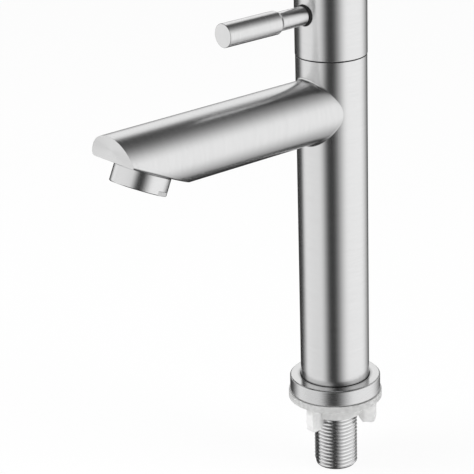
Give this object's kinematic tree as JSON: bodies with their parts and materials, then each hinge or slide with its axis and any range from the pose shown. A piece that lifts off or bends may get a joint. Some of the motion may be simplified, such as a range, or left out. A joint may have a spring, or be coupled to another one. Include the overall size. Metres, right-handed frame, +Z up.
{
  "type": "basin tap",
  "caption": "Single-lever basin tap: tall round column, level spout with a slanted outlet, rod lever on a turning cap, threaded tail with a washer and a wing nut.",
  "frame": {"origin": "on the column's axis, in the plane of the deck: the underside of the base ring", "axes": "+Z up along the column, -Y along the spout and the lever, +X to the left of a person who faces the spout"},
  "size_m": [0.0438, 0.147, 0.2418],
  "materials": {
    "brushed_steel": "satin, brushed along each tube",
    "collar_steel": "fine turned",
    "turned_steel": "turned, bright",
    "brass": "machined",
    "ceramic": "lapped",
    "black_rubber": "matt",
    "black_plastic": "matt",
    "white_plastic": "moulded",
    "milky_plastic": "moulded, milky"
  },
  "bodies": {
    "tap": {"aerator_housing": "collar_steel", "aerator_insert": "white_plastic", "aerator_screen": "turned_steel", "aerator_washer": "black_rubber", "base_flange": "brushed_steel", "base_plug": "turned_steel", "bonnet_seal": "black_rubber", "cartridge_body": "brass", "column_tube": "brushed_steel", "deck_gasket": "black_rubber", "fixed_disc": "ceramic", "glide_ring": "black_plastic", "inlet_tube": "turned_steel", "outlet_nozzle": "turned_steel", "seat_seal": "black_rubber", "spout_tip_plate": "brushed_steel", "spout_tube": "brushed_steel", "spout_underside_plate": "brushed_steel", "threaded_shank": "turned_steel", "valve_housing": "brass"},
    "handle": {"handle_cap": "brushed_steel", "spline_adapter": "brass", "adapter_screw": "turned_steel", "lever_rod": "brushed_steel", "lever_grip": "brushed_steel", "lever_ring": "black_plastic", "rear_grub_screw": "turned_steel", "spindle": "brass", "spindle_clip": "turned_steel", "spindle_o_ring": "black_rubber", "moving_disc": "ceramic"},
    "washer": {"backing_washer": "milky_plastic"},
    "nut": {"wing_nut": "milky_plastic"}
  },
  "joints": [
    {"name": "handle_turn", "type": "hinge", "parent": "tap", "child": "handle", "pos_m": [0, 0, 0.18], "axis": [0, 0, 1], "range_deg": [0, 90]},
    {"name": "washer_slide", "type": "slide", "parent": "tap", "child": "washer", "axis": [0, 0, -1], "range_m": [0, 0.02178]},
    {"name": "nut_turn", "type": "hinge", "parent": "washer", "child": "nut", "pos_m": [0, 0, -0.01], "axis": [0, 0, -1], "range_deg": [0, 4320]}
  ],
  "couplings": [
    {"joint": "washer_slide", "follows": "nut_turn", "m_per_rad": 0.00028871}
  ]
}
